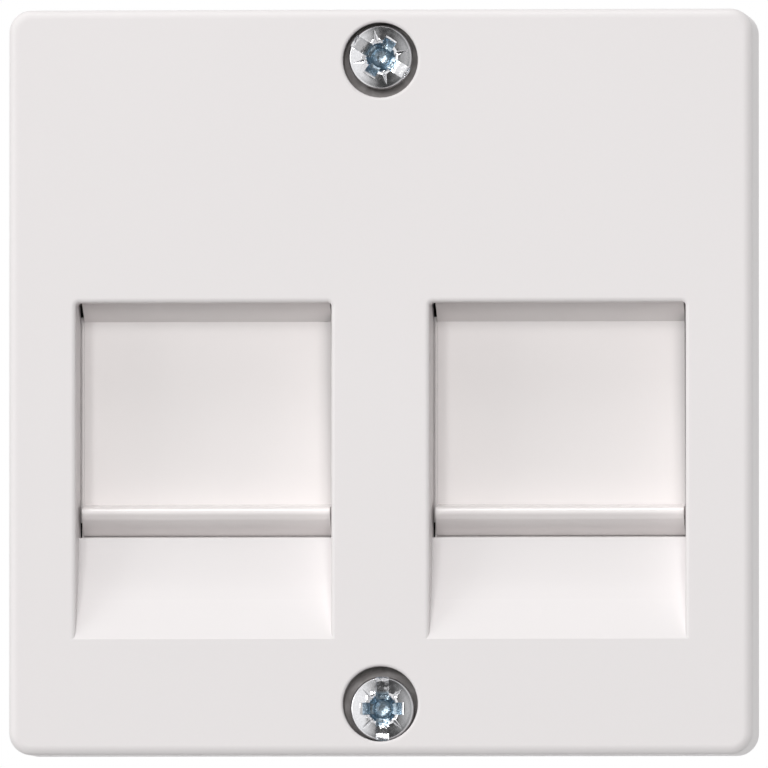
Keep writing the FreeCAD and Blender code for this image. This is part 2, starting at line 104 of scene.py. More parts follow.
class Workpiece:
    """A mesh on the bench, with the steps that shape it."""

    def __init__(self, name: str) -> None:
        """Take up the object that was just added.

        Args:
            name: the piece's name.
        """
        self.thing = bpy.context.active_object
        self.thing.name = name
        self.thing.data.name = name

    @classmethod
    def block(cls, name: str, low: Sequence[float], high: Sequence[float]) -> "Workpiece":
        """Start from a box.

        Args:
            name: the piece's name.
            low: its lowest corner, in metres.
            high: its highest corner, in metres.

        Returns:
            The new piece.
        """
        bpy.ops.object.select_all(action="DESELECT")
        size = Vector(high) - Vector(low)
        bpy.ops.mesh.primitive_cube_add(size=1, location=Vector(low) + size / 2, scale=size)
        piece = cls(name)
        piece.settle()
        return piece

    @classmethod
    def outline(cls, name: str, points: Sequence[Vector]) -> "Workpiece":
        """Start from an open line, drawn from point to point.

        Args:
            name: the piece's name.
            points: the points along the line, in metres.

        Returns:
            The new piece, left in edit mode with nothing but the line, selected.
        """
        bpy.ops.object.select_all(action="DESELECT")
        bpy.ops.mesh.primitive_plane_add(size=MM, location=(0, 0, 0))
        piece = cls(name)
        piece.edit()
        bpy.ops.mesh.select_mode(type="VERT")
        bpy.ops.mesh.select_all(action="SELECT")
        bpy.ops.mesh.merge(type="CENTER")
        bpy.ops.transform.translate(value=points[0])
        for here, there in zip(points, points[1:]):
            bpy.ops.mesh.extrude_vertices_move(TRANSFORM_OT_translate={"value": there - here})
        bpy.ops.mesh.select_all(action="SELECT")
        return piece

    @classmethod
    def turned(cls, name: str, points: Sequence[Vector], steps: int) -> "Workpiece":
        """Turn an outline round the Z axis, as on a lathe.

        Args:
            name: the piece's name.
            points: the outline, from the axis and back to it or closed on itself.
            steps: how many steps make the full turn.

        Returns:
            The new piece.
        """
        piece = cls.outline(name, points)
        bpy.ops.mesh.spin(steps=steps, angle=FULL_TURN, center=(0, 0, 0), axis=(0, 0, 1))
        piece.close_up()
        return piece

    @classmethod
    def pressed(cls, name: str, points: Sequence[Vector], run: Vector) -> "Workpiece":
        """Fill an outline and pull it out into a bar.

        Args:
            name: the piece's name.
            points: the corners of the outline, in order.
            run: the way along the bar, in metres.

        Returns:
            The new piece.
        """
        piece = cls.outline(name, points)
        bpy.ops.mesh.edge_face_add()
        bpy.ops.mesh.extrude_region_move(TRANSFORM_OT_translate={"value": run})
        piece.close_up()
        return piece

    @classmethod
    def from_node(cls, name: str, node: str) -> "Workpiece":
        """Start from a merged copy of a CAD node's mesh.

        Args:
            name: the piece's name.
            node: the node's name.

        Returns:
            The new piece, with flat areas in one face each.
        """
        bpy.ops.object.select_all(action="DESELECT")
        copy = bpy.data.objects.new(name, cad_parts[node].data.copy())
        bpy.context.scene.collection.objects.link(copy)
        bpy.context.view_layer.objects.active = copy
        copy.data.materials.clear()
        piece = cls(name)
        piece.edit()
        bpy.ops.mesh.select_all(action="SELECT")
        bpy.ops.mesh.customdata_custom_splitnormals_clear()
        bpy.ops.mesh.remove_doubles(threshold=TINY)
        bpy.ops.mesh.dissolve_limited(angle_limit=math.radians(FLAT_WITHIN))
        piece.rest()
        return piece

    def choose(self) -> None:
        """Select this piece alone."""
        bpy.ops.object.select_all(action="DESELECT")
        self.thing.select_set(True)
        bpy.context.view_layer.objects.active = self.thing

    def edit(self) -> None:
        """Open the mesh for editing."""
        self.choose()
        bpy.ops.object.mode_set(mode="EDIT")

    def rest(self) -> None:
        """Leave edit mode."""
        bpy.ops.object.mode_set(mode="OBJECT")

    def close_up(self) -> None:
        """Merge seams and poles, turn the faces outwards and leave edit mode."""
        bpy.ops.mesh.select_all(action="SELECT")
        bpy.ops.mesh.remove_doubles(threshold=TINY)
        bpy.ops.mesh.normals_make_consistent(inside=False)
        self.rest()

    def settle(self) -> None:
        """Put the object's place, turn and scale into its mesh."""
        self.choose()
        bpy.ops.object.transform_apply(location=True, rotation=True, scale=True)

    def move(self, shift: Sequence[float], turn: float = 0.0, axis: str = "Z") -> None:
        """Turn the piece by degrees about an axis through the origin, then shift it."""
        self.thing.matrix_world = Matrix.Translation(shift) @ Matrix.Rotation(math.radians(turn), 4, axis)
        self.settle()

    def round_edges(self, height: float, width: float, segments: int) -> None:
        """Round the edges that lie level at a height.

        Args:
            height: their height, in metres.
            width: how far the round reaches from each edge.
            segments: how many faces make it.
        """
        self.edit()
        bpy.ops.mesh.select_mode(type="EDGE")
        bpy.ops.mesh.select_all(action="DESELECT")
        mesh = bmesh.from_edit_mesh(self.thing.data)
        for edge in mesh.edges:
            edge.select_set(all(abs(vertex.co.z - height) < TINY for vertex in edge.verts))
        bmesh.update_edit_mesh(self.thing.data)
        bpy.ops.mesh.bevel(offset=width, segments=segments, affect="EDGES")
        self.rest()

    def taper(self, factors: Sequence[float]) -> None:
        """Scale the face that looks straight down about its middle.

        Args:
            factors: the scale along x, y and z.
        """
        self.edit()
        bpy.ops.mesh.select_mode(type="FACE")
        bpy.ops.mesh.select_all(action="DESELECT")
        mesh = bmesh.from_edit_mesh(self.thing.data)
        under = min(mesh.faces, key=lambda face: face.normal.z)
        under.select_set(True)
        centre = under.calc_center_median()
        bmesh.update_edit_mesh(self.thing.data)
        bpy.ops.transform.resize(value=factors, center_override=centre)
        self.rest()

    def modify(self, kind: str, **settings: object) -> None:
        """Add a modifier and apply it at once.

        Args:
            kind: the modifier's type.
            settings: its properties, by name.
        """
        modifier = self.thing.modifiers.new(kind.lower(), kind)
        for name, value in settings.items():
            setattr(modifier, name, value)
        self.choose()
        bpy.ops.object.modifier_apply(modifier=modifier.name)

    def join(self, tool: "Workpiece", joining: Joining) -> None:
        """Join a tool with this piece in a given way, and clear the tool away."""
        self.modify("BOOLEAN", operation=joining.value, object=tool.thing, solver="EXACT")
        bpy.data.objects.remove(tool.thing)

    def soften(self, width: float, above: float = 30.0) -> None:
        """Break every edge, by a width in metres, whose faces turn by more than some degrees."""
        self.modify("BEVEL", width=width, segments=2, limit_method="ANGLE", angle_limit=math.radians(above))

    def copy(self, name: str) -> "Workpiece":
        """Copy the piece, with a mesh of its own.

        Args:
            name: the copy's name.

        Returns:
            The copy.
        """
        self.choose()
        bpy.ops.object.duplicate(linked=False)
        return Workpiece(name)

    def hand_over(self, body: str, slot: str, material: bpy.types.Material, node: str,
                  smooth: float = 30.0) -> None:
        """Smooth and dress the finished piece, and let it stand for its CAD node.

        Args:
            body: the body that it rides on.
            slot: not used.
            material: its finish.
            node: the CAD node that it replaces.
            smooth: edges whose faces turn by fewer degrees than this are smooth.
        """
        self.choose()
        bpy.ops.object.shade_smooth_by_angle(angle=math.radians(smooth))
        self.modify("WEIGHTED_NORMAL", keep_sharp=True, weight=FACE_WEIGHT)
        self.thing.data.materials.clear()
        self.thing.data.materials.append(material)
        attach(self.thing, body)
        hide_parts(node)
        LOG.info("%s: %d faces on %s", self.thing.name, len(self.thing.data.polygons), body)


# ---- finishes


class NodeBoard:
    """A node tree with short ways to add and join its nodes."""

    # Places of the factor, the colours and the result on a Mix node, which has more under these names.
    COLOUR_MIX_INPUTS = (0, 6, 7)
    COLOUR_MIX_OUTPUT = 2

    def __init__(self, tree: bpy.types.NodeTree) -> None:
        """Start on the tree of a material, a world or a group."""
        self.tree = tree

    def add(self, kind: str, inputs: dict[str, object] | None = None, **settings: object) -> bpy.types.Node:
        """Add one node.

        Args:
            kind: the node's Blender type name.
            inputs: outputs to join to the node's inputs, or values to set on them, by name.
            settings: properties of the node, by name.

        Returns:
            The new node.
        """
        node = self.tree.nodes.new(kind)
        for name, value in settings.items():
            setattr(node, name, value)
        self.feed_all(node, inputs or {})
        return node

    def feed_all(self, node: bpy.types.Node, inputs: dict[str, object]) -> None:
        """Join outputs to a node's inputs, or set plain values on them, by the inputs' names."""
        for name, value in inputs.items():
            self.feed(node.inputs[name], value)

    def feed(self, socket: bpy.types.NodeSocket, value: object) -> None:
        """Join an output to an input, or set a plain value on it.

        Args:
            socket: the input.
            value: the output or the value.
        """
        if isinstance(value, bpy.types.NodeSocket):
            self.tree.links.new(value, socket)
        else:
            socket.default_value = value

    def math(self, operation: str, *values: object) -> bpy.types.NodeSocket:
        """Work out a number.

        Args:
            operation: the Math node's operation.
            values: outputs or plain numbers.

        Returns:
            The output that holds the result.
        """
        node = self.add("ShaderNodeMath", operation=operation)
        for socket, value in zip(node.inputs, values):
            self.feed(socket, value)
        return node.outputs[0]

    def noise(self, place: bpy.types.NodeSocket, grain: float, detail: float) -> bpy.types.NodeSocket:
        """Add a noise about its middle, with spots of a size in metres and some finer octaves."""
        node = self.add("ShaderNodeTexNoise", {"Vector": place, "Scale": 1 / grain, "Detail": detail})
        return node.outputs["Fac"]

    def ramp(self, value: object, low: float, high: float, first: float, last: float) -> bpy.types.NodeSocket:
        """Map the range from low to high smoothly to the range from first to last."""
        inputs = {"Value": value, "From Min": low, "From Max": high, "To Min": first, "To Max": last}
        return self.add("ShaderNodeMapRange", inputs, interpolation_type="SMOOTHSTEP").outputs[0]

    def blend(self, share: object, first: object, second: object, way: str = "MIX") -> bpy.types.NodeSocket:
        """Mix two colours.

        Args:
            share: how much of the second there is.
            first: the first colour.
            second: the second colour.
            way: how they are mixed.

        Returns:
            The output that holds the colour.
        """
        node = self.add("ShaderNodeMix", data_type="RGBA", blend_type=way)
        for place, value in zip(self.COLOUR_MIX_INPUTS, (share, first, second)):
            self.feed(node.inputs[place], value)
        return node.outputs[self.COLOUR_MIX_OUTPUT]


def start_material(name: str) -> tuple[bpy.types.Material, NodeBoard, bpy.types.Node]:
    """Start a material.

    Args:
        name: the material's name.

    Returns:
        The material, a board on its tree, and its Principled shader.
    """
    material = bpy.data.materials.new(name)
    material.use_nodes = True
    return material, NodeBoard(material.node_tree), material.node_tree.nodes["Principled BSDF"]


def open_group(name: str, inputs: dict[str, float | Colour], outputs: dict[str, str]) -> NodeBoard | None:
    """Start a shader node group with named sockets.

    Args:
        name: the group's name.
        inputs: default values by name; a colour makes a colour socket.
        outputs: socket types by name.

    Returns:
        A board on the new group, or None where the group is there already.
    """
    if name in bpy.data.node_groups:
        return None
    tree = bpy.data.node_groups.new(name, "ShaderNodeTree")
    for label, value in inputs.items():
        kind = "NodeSocketColor" if isinstance(value, tuple) else "NodeSocketFloat"
        socket = tree.interface.new_socket(name=label, in_out="INPUT", socket_type=kind)
        socket.default_value = (*value, 1.0) if isinstance(value, tuple) else value
    for label, kind in outputs.items():
        tree.interface.new_socket(name=label, in_out="OUTPUT", socket_type=kind)
    return NodeBoard(tree)


DRIFT_SPOT = 18 * MM
SPECKLE_SPOT = 0.12 * MM
RIPPLE_SPOT = 0.9 * MM
GRAIN_SPOT = 0.09 * MM
GLOSS_SPOT = 3.0 * MM


def tone_drift_group() -> bpy.types.NodeTree:
    """Make the group that lets a colour drift slowly and speckles it finely.

    Returns:
        The group.
    """
    name = "tone_drift"
    inputs = {"Colour": (0.8, 0.8, 0.8), "Drift": 0.03, "Speckle": 0.02}
    board = open_group(name, inputs, {"Colour": "NodeSocketColor"})
    if board:
        entry = board.add("NodeGroupInput")
        place = board.add("ShaderNodeTexCoord").outputs["Object"]
        slow = board.math("SUBTRACT", board.noise(place, DRIFT_SPOT, detail=1.0), NOISE_MIDDLE)
        fine = board.math("SUBTRACT", board.noise(place, SPECKLE_SPOT, detail=2.0), NOISE_MIDDLE)
        lift = board.math("MULTIPLY", slow, entry.outputs["Drift"])
        lift = board.math("ADD", lift, board.math("MULTIPLY", fine, entry.outputs["Speckle"]))
        level = board.math("ADD", lift, 1.0)
        grey = board.add("ShaderNodeCombineColor", {"Red": level, "Green": level, "Blue": level}).outputs[0]
        colour = board.blend(1.0, entry.outputs["Colour"], grey, "MULTIPLY")
        board.add("NodeGroupOutput", {"Colour": colour})
    return bpy.data.node_groups[name]


def moulded_skin_group() -> bpy.types.NodeTree:
    """Make the group for the skin of a moulding: a slow ripple, a grain, and a gloss that varies.

    Returns:
        The group.
    """
    name = "moulded_skin"
    inputs = {"Ripple": 0.5, "Grain": 0.5, "Gloss": 0.4, "Gloss spread": 0.06}
    board = open_group(name, inputs, {"Height": "NodeSocketFloat", "Roughness": "NodeSocketFloat"})
    if board:
        entry = board.add("NodeGroupInput")
        place = board.add("ShaderNodeTexCoord").outputs["Object"]
        ripple = board.math("MULTIPLY", board.noise(place, RIPPLE_SPOT, detail=1.0), entry.outputs["Ripple"])
        grain = board.math("MULTIPLY", board.noise(place, GRAIN_SPOT, detail=3.0), entry.outputs["Grain"])
        patch = board.math("SUBTRACT", board.noise(place, GLOSS_SPOT, detail=4.0), NOISE_MIDDLE)
        change = board.math("MULTIPLY", patch, entry.outputs["Gloss spread"])
        gloss = board.math("ADD", entry.outputs["Gloss"], change)
        height = board.math("ADD", ripple, grain)
        board.add("NodeGroupOutput", {"Height": height, "Roughness": gloss})
    return bpy.data.node_groups[name]


@dataclass(frozen=True)
class PlasticFinish:
    """Moulded thermoplastic: a colour that drifts a little, and a skin that is never quite flat."""

    name: str
    colour: Colour
    gloss: float
    gloss_spread: float = 0.06
    drift: float = 0.02
    speckle: float = 0.015
    ripple: float = 0.6
    grain: float = 0.15
    relief: float = 0.004 * MM
    glow: float = 0.0
    glow_reach: tuple[float, float, float] = (0.6 * MM, 0.5 * MM, 0.4 * MM)
    shine: float = 0.5

    def material(self) -> bpy.types.Material:
        """Make the material.

        Returns:
            The new material.
        """
        material, board, shader = start_material(self.name)
        values = {"Colour": (*self.colour, 1.0), "Drift": self.drift, "Speckle": self.speckle}
        tone = board.add("ShaderNodeGroup", values, node_tree=tone_drift_group())
        values = {"Ripple": self.ripple, "Grain": self.grain,
                  "Gloss": self.gloss, "Gloss spread": self.gloss_spread}
        skin = board.add("ShaderNodeGroup", values, node_tree=moulded_skin_group())
        bump = board.add("ShaderNodeBump", {"Height": skin.outputs["Height"], "Distance": self.relief})
        board.feed_all(shader, {
            "Base Color": tone.outputs["Colour"],
            "Roughness": skin.outputs["Roughness"],
            "Normal": bump.outputs["Normal"],
            "Specular IOR Level": self.shine,
            "Subsurface Weight": self.glow,
            "Subsurface Radius": self.glow_reach,
            "Subsurface Scale": 1.0})
        return material


@dataclass(frozen=True)
class CoverFinish(PlasticFinish):
    """The cover's plastic, with a grey shade painted inside its two counterbores round the screw heads."""

    hole_height: float = 21.6 * MM
    hole_radius: float = 2.52 * MM
    # painted shade: the grey painted on the counterbore walls, and how it fades in with radius and depth
    counterbore_shade: Colour = (0.31, 0.29, 0.285)
    shade_fade: float = 0.04 * MM
    shade_start: float = 0.08 * MM
    shade_full: float = 0.5 * MM
    patch_size: float = 0.8 * MM
    patch_levels: Span = (0.2, 0.6)
    least_shade: float = 0.7

    def material(self) -> bpy.types.Material:
        """Make the material.

        Returns:
            The new material.
        """
        material = super().material()
        board = NodeBoard(material.node_tree)
        shader = material.node_tree.nodes["Principled BSDF"]
        clean = shader.inputs["Base Color"].links[0].from_socket
        place = board.add("ShaderNodeTexCoord").outputs["Object"]
        x, y, z = board.add("ShaderNodeSeparateXYZ", {"Vector": place}).outputs
        up = board.math("SUBTRACT", board.math("ABSOLUTE", z), self.hole_height)
        squares = board.math("ADD", board.math("MULTIPLY", x, x), board.math("MULTIPLY", up, up))
        reach = board.math("SQRT", squares)
        # Painted shade: grey blended in patches over each counterbore, from a little behind the front face
        # inwards.
        inside = board.ramp(reach, self.hole_radius, self.hole_radius + self.shade_fade, 1.0, 0.0)
        front = CAD_BOX[0].y
        sunk = board.ramp(y, front + self.shade_start, front + self.shade_full, 0.0, 1.0)
        patch = board.noise(place, self.patch_size, detail=3.0)
        patchy_shade = board.ramp(patch, *self.patch_levels, self.least_shade, 1.0)
        shade_mask = board.math("MULTIPLY", board.math("MULTIPLY", inside, sunk), patchy_shade)
        board.feed(shader.inputs["Base Color"], board.blend(shade_mask, clean, (*self.counterbore_shade, 1.0)))
        return material


@dataclass(frozen=True)
class ZincFinish:
    """Zinc plate over turned steel: brushed round its axis, with a bluer, duller and dented recess."""

    name: str
    bright: Colour = (0.82, 0.82, 0.84)
    recess: Colour = (0.43, 0.53, 0.61)
    drift: float = 0.1
    speckle: float = 0.25
    roughness: Span = (0.11, 0.21)
    recess_dulling: float = 0.12
    mottle_spot: float = 0.35 * MM
    mottle_levels: Span = (0.35, 0.7)
    brushed: float = 0.6
    relief: float = 0.002 * MM
    relief_spot: float = 0.1 * MM
    dent: float = 0.03 * MM
    dent_spot: float = 0.3 * MM

    def material(self) -> bpy.types.Material:
        """Make the material.

        Returns:
            The new material.
        """
        material, board, shader = start_material(self.name)
        place = board.add("ShaderNodeTexCoord").outputs["Object"]
        depth = board.add("ShaderNodeAttribute", attribute_name="recess").outputs["Fac"]
        colour = board.blend(depth, (*self.bright, 1.0), (*self.recess, 1.0))
        values = {"Colour": colour, "Drift": self.drift, "Speckle": self.speckle}
        tone = board.add("ShaderNodeGroup", values, node_tree=tone_drift_group())
        mottle = board.noise(place, self.mottle_spot, detail=4.0)
        dull = board.ramp(mottle, *self.mottle_levels, *self.roughness)
        struck = board.add("ShaderNodeAttribute", attribute_name="struck").outputs["Fac"]
        dents = board.math("MULTIPLY", board.noise(place, self.dent_spot, detail=2.0), struck)
        rough = board.add("ShaderNodeBump", {"Height": dents, "Distance": self.dent})
        bump = board.add("ShaderNodeBump", {"Height": board.noise(place, self.relief_spot, detail=3.0),
                                            "Distance": self.relief, "Normal": rough.outputs["Normal"]})
        tangent = board.add("ShaderNodeTangent", direction_type="RADIAL", axis="Y")
        board.feed_all(shader, {
            "Base Color": tone.outputs["Colour"],
            "Roughness": board.math("ADD", dull, board.math("MULTIPLY", depth, self.recess_dulling)),
            "Normal": bump.outputs["Normal"],
            "Tangent": tangent.outputs["Tangent"],
            "Metallic": 1.0,
            "Anisotropic": self.brushed})
        return material


# ---- screws


def upright(outline: Iterable[Span]) -> list[Vector]:
    """Stand an outline, given as distances from the Z axis and heights, in the plane of X and Z."""
    return [Vector((radius, 0, height)) for radius, height in outline]


@dataclass
class FixingScrew:
    """A long machine screw: domed head with a slot and a cross recess, waisted neck, rolled thread."""

    material: bpy.types.Material
    head_radius: float = 2.15 * MM
    head_height: float = 2.0 * MM
    head_steps: int = 96
    crown_rise: float = 0.30 * MM
    crown_steps: int = 10
    edge_round: float = 0.20 * MM
    edge_steps: int = 6
    neck_radius: float = 1.0 * MM
    neck_chamfer: float = 0.1 * MM
    neck_end: float = 7.38 * MM
    length: float = 17.94 * MM
    crest_radius: float = 1.24 * MM
    root_radius: float = 0.97 * MM
    pitch: float = 0.45 * MM
    tooth_flat: float = 0.125
    thread_steps: int = 36
    spare_turns: int = 3
    thread_lap: float = 0.02 * MM
    thread_lead: float = 0.05 * MM
    thread_clear: float = 0.1 * MM
    neck_skin: float = 0.01 * MM
    run_out: float = 0.5 * MM
    tip_chamfer: float = 0.35 * MM
    slot_width: float = 0.88 * MM
    slot_depth: float = 1.0 * MM
    slot_rise: float = 0.55 * MM
    slot_curve: int = 5
    slot_steps: int = 12
    wing_span: float = 2.9 * MM
    wing_width: float = 0.84 * MM
    wing_depth: float = 1.15 * MM
    wing_taper: tuple[float, float, float] = (0.62, 0.8, 1.0)
    wing_lip: float = 0.12 * MM
    wing_sink: float = 0.14 * MM
    star_span: float = 2.25 * MM
    star_width: float = 0.5 * MM
    star_depth: float = 0.75 * MM
    mouth_radius: float = 1.36 * MM
    mouth_slope: float = 1.2
    mouth_sides: int = 8
    core_radius: float = 0.98 * MM
    core_depth: float = 1.5 * MM
    core_bulge: Span = (0.6, 1.4)
    core_rings: int = 10
    core_sides: int = 40
    tick_inner: float = 1.0 * MM
    tick_outer: float = 1.9 * MM
    over: float = 0.3 * MM
    edge_break: float = 0.025 * MM
    edge_angle: float = 25.0
    smooth: float = 20.0
    dull_wings: Span = (0.55, 0.51)
    dull_mouth: float = 0.86
    bright_depth: float = 0.32 * MM
    struck_height: float = 0.9
    struck_depth: float = 0.06 * MM

    def crown(self, radius: float) -> float:
        """Give the height, zero or less, of the domed crown at a distance from the axis."""
        dome = (self.head_radius ** 2 + self.crown_rise ** 2) / (2 * self.crown_rise)
        return math.sqrt(dome ** 2 - radius ** 2) - dome

    def turn_blank(self) -> Workpiece:
        """Turn the head and the neck.

        Returns:
            The blank, crown up.
        """
        edge = self.head_radius - self.edge_round
        outline = [(0, 0)]
        for i in range(1, self.crown_steps + 1):
            radius = edge * i / self.crown_steps
            outline.append((radius, self.crown(radius)))
        drop = self.crown(edge)
        for i in range(1, self.edge_steps + 1):
            turn = math.pi / 2 * i / self.edge_steps
            outline.append((edge + self.edge_round * math.sin(turn),
                            drop - self.edge_round * (1 - math.cos(turn))))
        seat = -self.head_height
        outline += [(self.head_radius, seat), (self.neck_radius + self.neck_chamfer, seat),
                    (self.neck_radius, seat - self.neck_chamfer), (self.neck_radius, -self.neck_end),
                    (0, -self.neck_end)]
        return Workpiece.turned("screw_blank", upright(outline), self.head_steps)

    def roll_thread(self) -> Workpiece:
        """Roll the thread, with a run-out at the neck and a chamfer at the tip.

        Returns:
            The threaded part.
        """
        root, crest, flat = self.root_radius, self.crest_radius, self.tooth_flat
        tooth = [(root, 0.0), (root, flat), (crest, 0.5 - flat / 2),
                 (crest, 0.5 + flat / 2), (root, 1.0 - flat), (root, 1.0)]
        turns = math.ceil((self.length - self.neck_end) / self.pitch) + self.spare_turns
        foot = -self.length - self.pitch
        points = upright([(radius, foot + rise * self.pitch) for radius, rise in tooth])
        thread = Workpiece.outline("screw_thread", points)
        thread.rest()
        thread.modify("SCREW", axis="Z", screw_offset=self.pitch, iterations=turns, steps=self.thread_steps,
                      render_steps=self.thread_steps, use_merge_vertices=True, merge_threshold=TINY)
        thread.edit()
        bpy.ops.mesh.select_all(action="SELECT")
        bpy.ops.mesh.remove_doubles(threshold=TINY)
        lap = self.thread_lap
        for height, keep in ((lap - self.neck_end, "clear_outer"), (-self.length, "clear_inner")):
            bpy.ops.mesh.select_all(action="SELECT")
            bpy.ops.mesh.bisect(plane_co=(0, 0, height), plane_no=(0, 0, 1), use_fill=True,
                                threshold=TINY / 100, **{keep: True})
        thread.close_up()
        start, tip, clear = self.thread_lead - self.neck_end, -self.length, self.thread_clear
        wide, narrow = self.crest_radius + clear, self.neck_radius + self.neck_skin
        rim = self.crest_radius - self.tip_chamfer
        shape = [(0, start), (narrow, start), (narrow, start - clear), (wide, start - self.run_out),
                 (wide, tip + self.tip_chamfer + clear), (rim, tip), (0, tip)]
        envelope = Workpiece.turned("screw_envelope", upright(shape), self.head_steps // 2)
        thread.join(envelope, Joining.TRIM)
        return thread

    def slot_tool(self) -> Workpiece:
        """Make the punch for the slot, whose floor rises towards both ends.

        Returns:
            The tool.
        """
        wide, side = self.slot_width, []
        for i in range(-self.slot_steps - 1, self.slot_steps + 2):
            share = i / self.slot_steps
            rise = self.slot_rise * abs(share) ** self.slot_curve
            side.append((self.head_radius * share, rise - self.slot_depth))
        far = side[-1][0]
        side += [(far, self.over), (-far, self.over)]
        points = [Vector((x, -wide / 2, z)) for x, z in side]
        return Workpiece.pressed("slot_tool", points, Vector((0, wide, 0)))

    def lip_tools(self) -> list[Workpiece]:
        """Make the punches that lean outwards at two ends of the cross.

        Returns:
            The tools.
        """
        end, lip, tools = self.wing_span / 2, self.wing_lip, []
        side = [(end - lip, -lip - self.wing_sink), (end + self.over, self.over - self.wing_sink),
                (end - lip, self.over)]
        for angle in (90, 270):
            tool = Workpiece.pressed("lip_tool", [Vector((x, -self.wing_width / 2, z)) for x, z in side],
                                     Vector((0, self.wing_width, 0)))
            tool.move((0, 0, 0), angle)
            tools.append(tool)
        return tools

    def wing_tool(self, angle: float, span: float, width: float, depth: float) -> Workpiece:
        """Make the tapered punch for one bar of the cross or the star.

        Args:
            angle: degrees from the slot.
            span: length across both wings.
            width: width of the bar.
            depth: depth of its foot.

        Returns:
            The tool.
        """
        wing = Workpiece.block("wing_tool", (-span / 2, -width / 2, -depth), (span / 2, width / 2, 0))
        wing.taper(self.wing_taper)
        lid = Workpiece.block("wing_lid", (-span / 2, -width / 2, -TINY), (span / 2, width / 2, self.over))
        wing.join(lid, Joining.WELD)
        wing.move((0, 0, 0), angle)
        return wing

    def core_tools(self) -> list[Workpiece]:
        """Make the funnel for the mouth and the bowl for the middle.

        Returns:
            The tools.
        """
        foot = -(self.mouth_radius - self.core_radius) / self.mouth_slope
        mouth = [(0, self.over), (self.mouth_radius + self.over * self.mouth_slope, self.over),
                 (self.core_radius, foot), (0, foot)]
        across, down = self.core_bulge
        core = [(0, self.over), (self.core_radius, self.over), (self.core_radius, 0)]
        for i in range(1, self.core_rings):
            turn = math.pi / 2 * i / self.core_rings
            core.append((self.core_radius * math.cos(turn) ** across,
                         -self.core_depth * math.sin(turn) ** down))
        core.append((0, -self.core_depth))
        return [Workpiece.turned("mouth_tool", upright(mouth), self.mouth_sides),
                Workpiece.turned("core_tool", upright(core), self.core_sides)]

    def tick_tool(self, angle: float) -> Workpiece:
        """Make the wedge for one tick mark.

        Args:
            angle: degrees from the slot.

        Returns:
            The tool.
        """
        points = [Vector((0, -self.over, self.over)), Vector((0, 0, 0)), Vector((0, self.over, self.over))]
        tick = Workpiece.pressed("tick_tool", points, Vector((self.tick_outer - self.tick_inner, 0, 0)))
        tick.move((self.tick_inner, 0, self.crown(self.tick_outer)))
        tick.move((0, 0, 0), angle)
        return tick

    def punch_tools(self) -> list[Workpiece]:
        """Make the punches for slot, cross, star and tick marks.

        Returns:
            The tools, each to be cut from the head.
        """
        cross = (self.wing_span, self.wing_width, self.wing_depth)
        star = (self.star_span, self.star_width, self.star_depth)
        places = ((0, cross), (90, cross), (45, star), (-45, star))
        bars = [self.wing_tool(angle, *sizes) for angle, sizes in places]
        ticks = [self.tick_tool(angle) for angle in (45, 135, 225, 315)]
        return [self.slot_tool(), *self.lip_tools(), *bars, *self.core_tools(), *ticks]

    def mark_recess(self, screw: Workpiece) -> None:
        """Mark the deep recess for its duller finish, and all that was struck for its dents.

        Args:
            screw: the screw, crown up.
        """
        mesh = screw.thing.data
        marks = mesh.attributes.new("recess", "FLOAT", "POINT")
        strikes = mesh.attributes.new("struck", "FLOAT", "POINT")
        wide, far = (size * share for size, share in zip((self.wing_width, self.wing_span), self.dull_wings))
        for vertex in mesh.vertices:
            radius = vertex.co.xy.length
            sunk = self.crown(min(radius, self.head_radius)) - vertex.co.z
            wing = abs(vertex.co.x) < wide and radius < far
            inside = wing or radius < self.mouth_radius * self.dull_mouth
            recess = inside and vertex.co.z > -self.head_height and sunk > self.bright_depth
            marks.data[vertex.index].value = float(recess)
            head = vertex.co.z > -self.head_height * self.struck_height
            strikes.data[vertex.index].value = float(head and sunk > self.struck_depth)

    def build(self) -> None:
        """Build one screw, and set it in the plate twice."""
        screw = self.turn_blank()
        screw.join(self.roll_thread(), Joining.WELD)
        for tool in self.punch_tools():
            screw.join(tool, Joining.CUT)
        screw.soften(self.edge_break, self.edge_angle)
        self.mark_recess(screw)
        for level in Level:
            low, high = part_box(f"{level.value}_screw")
            piece = screw.copy(f"{level.value}_fixing_screw")
            piece.move((0, 0, 0), SLOT_TURN[level])
            piece.move((0, 0, 0), 90, "X")
            x, z = SCREW_LEAN[level]
            piece.move(((low.x + high.x) / 2 + x, low.y, (low.z + high.z) / 2 + z))
            piece.hand_over("cover", "zinc_plated_steel", self.material, f"{level.value}_screw",
                            self.smooth)
        bpy.data.objects.remove(screw.thing)


@dataclass
class CaptiveWasher:
    """A soft ring, slit from its bore, that holds each screw in the cover."""

    material: bpy.types.Material
    radius: float = 2.15 * MM
    thickness: float = 0.8 * MM
    bore: float = 1.02 * MM
    slit_width: float = 0.22 * MM
    slit_reach: float = 1.6 * MM
    slit_angles: Span = (20.0, 110.0)
    chamfer: float = 0.12 * MM
    steps: int = 72
    edge_break: float = 0.03 * MM

    def build(self) -> None:
        """Build one ring, and set it behind the plate twice."""
        half, cut = self.thickness / 2, self.chamfer
        outline = [(self.bore, -half + cut), (self.bore + cut, -half), (self.radius - cut, -half),
                   (self.radius, -half + cut), (self.radius, half - cut), (self.radius - cut, half),
                   (self.bore + cut, half), (self.bore, half - cut), (self.bore, -half + cut)]
        ring = Workpiece.turned("ring", upright(outline), self.steps)
        corner = Vector((self.slit_reach, self.slit_width / 2, self.thickness))
        for angle in self.slit_angles:
            slit = Workpiece.block("slit_tool", -corner, corner)
            slit.move((0, 0, 0), angle)
            ring.join(slit, Joining.CUT)
        ring.soften(self.edge_break)
        for level in Level:
            low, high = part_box(f"{level.value}_captive_washer")
            x, z = SCREW_LEAN[level]
            piece = ring.copy(f"{level.value}_retaining_ring")
            piece.move((0, 0, 0), 90, "X")
            piece.move(((low.x + high.x) / 2 + x, (low.y + high.y) / 2, (low.z + high.z) / 2 + z))
            piece.hand_over("cover", "natural_nylon", self.material, f"{level.value}_captive_washer")
        bpy.data.objects.remove(ring.thing)


# ---- shutters


